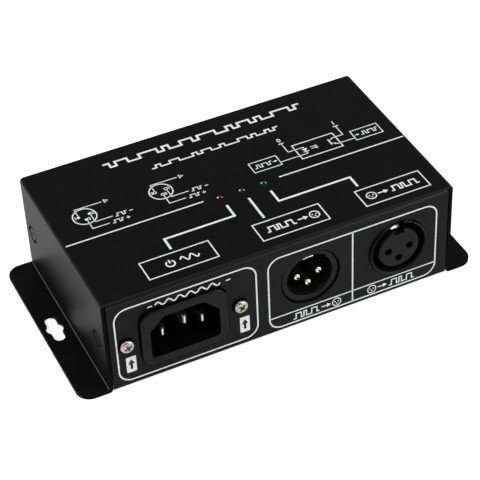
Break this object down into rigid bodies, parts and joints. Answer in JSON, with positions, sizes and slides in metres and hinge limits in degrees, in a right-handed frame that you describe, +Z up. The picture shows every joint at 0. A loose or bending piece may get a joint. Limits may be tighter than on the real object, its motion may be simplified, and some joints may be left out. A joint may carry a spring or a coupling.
{
  "type": "dmx signal amplifier",
  "caption": "Screw-down lighting data amplifier: folded steel case, mains inlet, data input and output sockets, status lamps, circuit board and wiring inside.",
  "frame": {"origin": "centre of the case's flat underside, midway between the two ears and between the front and rear panels", "axes": "+X along the length, from the mains inlet towards the data output socket; +Z up; the sockets face -Y"},
  "size_m": [0.146, 0.0742, 0.038],
  "materials": {
    "black_powder_coat": "satin black powder coat with a fine grain",
    "black_screw": "blackened steel",
    "black_plastic": "moulded black plastic, slight sheen",
    "bright_steel": "bright plated steel",
    "gold_plate": "gold plate on brass",
    "spring_steel": "bright spring steel",
    "board_green": "green solder mask on glass-fibre board",
    "nylon_white": "natural nylon",
    "chip_black": "matt moulding compound",
    "terminal_green": "matt green plastic",
    "capacitor_blue": "blue sleeve",
    "fuse_glass": "clear glass",
    "red_lens": "dark red tinted lens",
    "green_lens": "dark green tinted lens",
    "white_print": "white screen-printed ink",
    "wire_brown": "brown insulation",
    "wire_blue": "blue insulation",
    "wire_green": "green insulation"
  },
  "bodies": {
    "case": {"cover": "black_powder_coat", "base": "black_powder_coat", "cover_screw_left_front": "black_screw", "cover_screw_left_rear": "black_screw", "cover_screw_right_front": "black_screw", "cover_screw_right_rear": "black_screw", "inlet_body": "black_plastic", "inlet_blade_line": "bright_steel", "inlet_blade_neutral": "bright_steel", "inlet_blade_earth": "bright_steel", "inlet_screw_left": "bright_steel", "inlet_screw_right": "bright_steel", "inlet_nut_left": "bright_steel", "inlet_nut_right": "bright_steel", "data_input_housing": "black_plastic", "data_input_carrier": "black_plastic", "data_input_pin_1": "gold_plate", "data_input_pin_2": "gold_plate", "data_input_pin_3": "gold_plate", "data_output_housing": "black_plastic", "data_output_carrier": "black_plastic", "data_output_contact_1": "gold_plate", "data_output_contact_2": "gold_plate", "data_output_contact_3": "gold_plate", "main_board": "board_green", "board_standoff_1": "bright_steel", "board_standoff_2": "bright_steel", "board_standoff_3": "bright_steel", "board_standoff_4": "bright_steel", "board_screw_1": "bright_steel", "board_screw_2": "bright_steel", "board_screw_3": "bright_steel", "board_screw_4": "bright_steel", "power_lamp": "red_lens", "input_lamp": "green_lens", "output_lamp": "green_lens", "power_lamp_spacer": "nylon_white", "input_lamp_spacer": "nylon_white", "output_lamp_spacer": "nylon_white", "mains_terminal_block": "terminal_green", "fuse_holder": "chip_black", "fuse_link": "fuse_glass", "ac_dc_converter": "chip_black", "supply_capacitor_1": "capacitor_blue", "supply_capacitor_2": "capacitor_blue", "isolated_dc_converter": "chip_black", "voltage_regulator": "chip_black", "input_transceiver": "chip_black", "output_transceiver": "chip_black", "optocoupler_1": "chip_black", "optocoupler_2": "chip_black", "line_wire": "wire_brown", "neutral_wire": "wire_blue", "earth_wire": "wire_green", "earth_ring_terminal": "bright_steel", "earth_stud": "bright_steel", "earth_nut": "bright_steel"},
    "latch": {"data_output_latch": "spring_steel"}
  },
  "joints": [
    {"name": "latch_lift", "type": "hinge", "parent": "case", "child": "latch", "pos_m": [0.0424, -0.0227, 0.02925], "axis": [-1, 0, 0], "range_deg": [0, 15.5], "stiffness_Nm_per_rad": 0.05, "springref_deg": -1.72}
  ]
}
